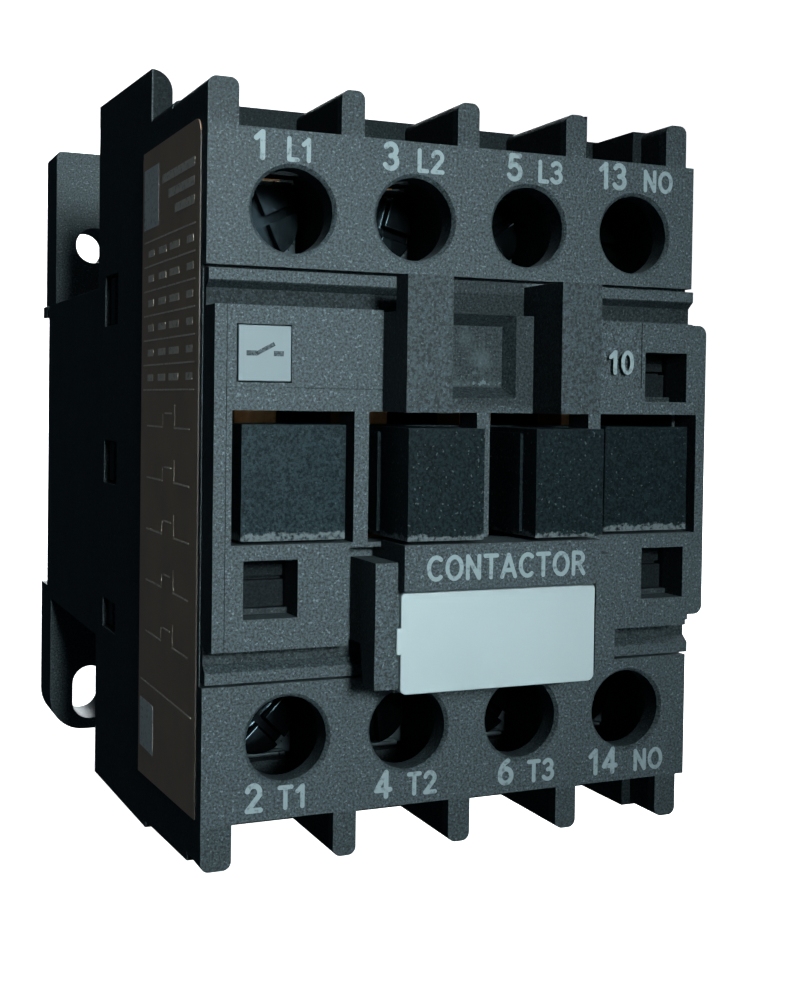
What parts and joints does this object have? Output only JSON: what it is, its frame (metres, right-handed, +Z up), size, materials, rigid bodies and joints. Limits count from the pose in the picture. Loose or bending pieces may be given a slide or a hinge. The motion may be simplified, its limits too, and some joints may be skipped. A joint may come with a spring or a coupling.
{
  "type": "contactor",
  "caption": "Rail-mounted electromagnetic contactor with screw terminal rows above and below, a sliding contact carrier and a sprung rail latch.",
  "frame": {"origin": "centre of the rail slot's mouth, in the rear mounting plane", "axes": "+X to the right across the poles, +Y into the panel behind, +Z up"},
  "size_m": [0.0452, 0.0841, 0.0754],
  "materials": {
    "charcoal_body": "fine pebbled moulding, matt",
    "carrier_plastic": "smooth moulding, semi-gloss",
    "pale_plate": "smooth, satin",
    "label_foil": "printed foil label, satin",
    "zinc_steel": "zinc-plated, satin",
    "copper_strip": "stamped copper alloy, satin",
    "core_steel": "laminated steel, ground faces",
    "spring_steel": "drawn wire",
    "cushion_rubber": "matt",
    "bobbin_plastic": "moulded, satin",
    "winding_wire": "enamelled wire under clear tape",
    "latch_plastic": "smooth moulding, satin"
  },
  "bodies": {
    "housing": {"base_housing": "charcoal_body", "front_housing": "charcoal_body", "front_cover": "charcoal_body", "marker_holder": "charcoal_body", "marker_plate": "pale_plate", "badge": "pale_plate", "side_label": "label_foil", "fixed_core": "core_steel", "shading_rings": "copper_strip", "core_cushion": "cushion_rubber", "coil_bobbin": "bobbin_plastic", "coil_winding": "winding_wire", "return_springs": "spring_steel", "latch_spring": "spring_steel", "coil_terminal_1": "zinc_steel", "coil_terminal_2": "zinc_steel", "line_contact_1": "copper_strip", "line_contact_2": "copper_strip", "line_contact_3": "copper_strip", "line_contact_4": "copper_strip", "load_contact_1": "copper_strip", "load_contact_2": "copper_strip", "load_contact_3": "copper_strip", "load_contact_4": "copper_strip"},
    "carrier": {"contact_carrier": "carrier_plastic", "armature": "core_steel", "armature_pin": "zinc_steel", "contact_spring_1": "spring_steel", "contact_spring_2": "spring_steel", "contact_spring_3": "spring_steel", "contact_spring_4": "spring_steel"},
    "latch": {"rail_latch": "latch_plastic"},
    "bridge_1": {"bridge_1": "copper_strip"},
    "bridge_2": {"bridge_2": "copper_strip"},
    "bridge_3": {"bridge_3": "copper_strip"},
    "bridge_4": {"bridge_4": "copper_strip"},
    "terminal_1_clamp_body": {"terminal_clamp_1": "zinc_steel"},
    "terminal_1_screw_body": {"terminal_screw_1": "zinc_steel"},
    "terminal_2_clamp_body": {"terminal_clamp_2": "zinc_steel"},
    "terminal_2_screw_body": {"terminal_screw_2": "zinc_steel"},
    "terminal_3_clamp_body": {"terminal_clamp_3": "zinc_steel"},
    "terminal_3_screw_body": {"terminal_screw_3": "zinc_steel"},
    "terminal_4_clamp_body": {"terminal_clamp_4": "zinc_steel"},
    "terminal_4_screw_body": {"terminal_screw_4": "zinc_steel"},
    "terminal_5_clamp_body": {"terminal_clamp_5": "zinc_steel"},
    "terminal_5_screw_body": {"terminal_screw_5": "zinc_steel"},
    "terminal_6_clamp_body": {"terminal_clamp_6": "zinc_steel"},
    "terminal_6_screw_body": {"terminal_screw_6": "zinc_steel"},
    "terminal_7_clamp_body": {"terminal_clamp_7": "zinc_steel"},
    "terminal_7_screw_body": {"terminal_screw_7": "zinc_steel"},
    "terminal_8_clamp_body": {"terminal_clamp_8": "zinc_steel"},
    "terminal_8_screw_body": {"terminal_screw_8": "zinc_steel"},
    "coil_1_clamp_body": {"coil_clamp_1": "zinc_steel"},
    "coil_1_screw_body": {"coil_screw_1": "zinc_steel"},
    "coil_2_clamp_body": {"coil_clamp_2": "zinc_steel"},
    "coil_2_screw_body": {"coil_screw_2": "zinc_steel"}
  },
  "joints": [
    {"name": "contact_carrier_slide", "type": "slide", "parent": "housing", "child": "carrier", "axis": [0, 1, 0], "range_m": [0, 0.0042], "stiffness_N_per_m": 300, "springref_m": -0.004, "deforming": ["return_springs"]},
    {"name": "rail_latch_slide", "type": "slide", "parent": "housing", "child": "latch", "axis": [0, 0, -1], "range_m": [0, 0.003], "stiffness_N_per_m": 800, "springref_m": -0.002, "deforming": ["latch_spring"]},
    {"name": "bridge_1_slide", "type": "slide", "parent": "carrier", "child": "bridge_1", "axis": [0, -1, 0], "range_m": [0, 0.0014], "stiffness_N_per_m": 400, "springref_m": -0.002, "deforming": ["contact_spring_1"]},
    {"name": "bridge_2_slide", "type": "slide", "parent": "carrier", "child": "bridge_2", "axis": [0, -1, 0], "range_m": [0, 0.0014], "stiffness_N_per_m": 400, "springref_m": -0.002, "deforming": ["contact_spring_2"]},
    {"name": "bridge_3_slide", "type": "slide", "parent": "carrier", "child": "bridge_3", "axis": [0, -1, 0], "range_m": [0, 0.0014], "stiffness_N_per_m": 400, "springref_m": -0.002, "deforming": ["contact_spring_3"]},
    {"name": "bridge_4_slide", "type": "slide", "parent": "carrier", "child": "bridge_4", "axis": [0, -1, 0], "range_m": [0, 0.0014], "stiffness_N_per_m": 400, "springref_m": -0.002, "deforming": ["contact_spring_4"]},
    {"name": "terminal_1_clamp_slide", "type": "slide", "parent": "housing", "child": "terminal_1_clamp_body", "axis": [0, -1, 0], "range_m": [0, 0.0026]},
    {"name": "terminal_1_screw_turn", "type": "hinge", "parent": "terminal_1_clamp_body", "child": "terminal_1_screw_body", "pos_m": [-0.01545, -0.069, 0.02103], "axis": [0, 1, 0], "range_deg": [-1560.01, 0]},
    {"name": "terminal_2_clamp_slide", "type": "slide", "parent": "housing", "child": "terminal_2_clamp_body", "axis": [0, -1, 0], "range_m": [0, 0.0026]},
    {"name": "terminal_2_screw_turn", "type": "hinge", "parent": "terminal_2_clamp_body", "child": "terminal_2_screw_body", "pos_m": [-0.00485, -0.069, 0.02103], "axis": [0, 1, 0], "range_deg": [-1560.01, 0]},
    {"name": "terminal_3_clamp_slide", "type": "slide", "parent": "housing", "child": "terminal_3_clamp_body", "axis": [0, -1, 0], "range_m": [0, 0.0026]},
    {"name": "terminal_3_screw_turn", "type": "hinge", "parent": "terminal_3_clamp_body", "child": "terminal_3_screw_body", "pos_m": [0.00575, -0.069, 0.02103], "axis": [0, 1, 0], "range_deg": [-1560.01, 0]},
    {"name": "terminal_4_clamp_slide", "type": "slide", "parent": "housing", "child": "terminal_4_clamp_body", "axis": [0, -1, 0], "range_m": [0, 0.0026]},
    {"name": "terminal_4_screw_turn", "type": "hinge", "parent": "terminal_4_clamp_body", "child": "terminal_4_screw_body", "pos_m": [0.01635, -0.069, 0.02103], "axis": [0, 1, 0], "range_deg": [-1560.01, 0]},
    {"name": "terminal_5_clamp_slide", "type": "slide", "parent": "housing", "child": "terminal_5_clamp_body", "axis": [0, -1, 0], "range_m": [0, 0.0026]},
    {"name": "terminal_5_screw_turn", "type": "hinge", "parent": "terminal_5_clamp_body", "child": "terminal_5_screw_body", "pos_m": [-0.01545, -0.069, -0.02103], "axis": [0, 1, 0], "range_deg": [-1560.01, 0]},
    {"name": "terminal_6_clamp_slide", "type": "slide", "parent": "housing", "child": "terminal_6_clamp_body", "axis": [0, -1, 0], "range_m": [0, 0.0026]},
    {"name": "terminal_6_screw_turn", "type": "hinge", "parent": "terminal_6_clamp_body", "child": "terminal_6_screw_body", "pos_m": [-0.00485, -0.069, -0.02103], "axis": [0, 1, 0], "range_deg": [-1560.01, 0]},
    {"name": "terminal_7_clamp_slide", "type": "slide", "parent": "housing", "child": "terminal_7_clamp_body", "axis": [0, -1, 0], "range_m": [0, 0.0026]},
    {"name": "terminal_7_screw_turn", "type": "hinge", "parent": "terminal_7_clamp_body", "child": "terminal_7_screw_body", "pos_m": [0.00575, -0.069, -0.02103], "axis": [0, 1, 0], "range_deg": [-1560.01, 0]},
    {"name": "terminal_8_clamp_slide", "type": "slide", "parent": "housing", "child": "terminal_8_clamp_body", "axis": [0, -1, 0], "range_m": [0, 0.0026]},
    {"name": "terminal_8_screw_turn", "type": "hinge", "parent": "terminal_8_clamp_body", "child": "terminal_8_screw_body", "pos_m": [0.01635, -0.069, -0.02103], "axis": [0, 1, 0], "range_deg": [-1560.01, 0]},
    {"name": "coil_1_clamp_slide", "type": "slide", "parent": "housing", "child": "coil_1_clamp_body", "axis": [0, -1, 0], "range_m": [0, 0.0026]},
    {"name": "coil_1_screw_turn", "type": "hinge", "parent": "coil_1_clamp_body", "child": "coil_1_screw_body", "pos_m": [0.0171, -0.069, 0.0324], "axis": [0, 1, 0], "range_deg": [-1872.01, 0]},
    {"name": "coil_2_clamp_slide", "type": "slide", "parent": "housing", "child": "coil_2_clamp_body", "axis": [0, -1, 0], "range_m": [0, 0.0026]},
    {"name": "coil_2_screw_turn", "type": "hinge", "parent": "coil_2_clamp_body", "child": "coil_2_screw_body", "pos_m": [-0.0171, -0.069, 0.0324], "axis": [0, 1, 0], "range_deg": [-1872.01, 0]}
  ],
  "couplings": [
    {"joint": "terminal_1_screw_turn", "follows": "terminal_1_clamp_slide", "rad_per_m": -10472},
    {"joint": "terminal_2_screw_turn", "follows": "terminal_2_clamp_slide", "rad_per_m": -10472},
    {"joint": "terminal_3_screw_turn", "follows": "terminal_3_clamp_slide", "rad_per_m": -10472},
    {"joint": "terminal_4_screw_turn", "follows": "terminal_4_clamp_slide", "rad_per_m": -10472},
    {"joint": "terminal_5_screw_turn", "follows": "terminal_5_clamp_slide", "rad_per_m": -10472},
    {"joint": "terminal_6_screw_turn", "follows": "terminal_6_clamp_slide", "rad_per_m": -10472},
    {"joint": "terminal_7_screw_turn", "follows": "terminal_7_clamp_slide", "rad_per_m": -10472},
    {"joint": "terminal_8_screw_turn", "follows": "terminal_8_clamp_slide", "rad_per_m": -10472},
    {"joint": "coil_1_screw_turn", "follows": "coil_1_clamp_slide", "rad_per_m": -12566},
    {"joint": "coil_2_screw_turn", "follows": "coil_2_clamp_slide", "rad_per_m": -12566}
  ]
}
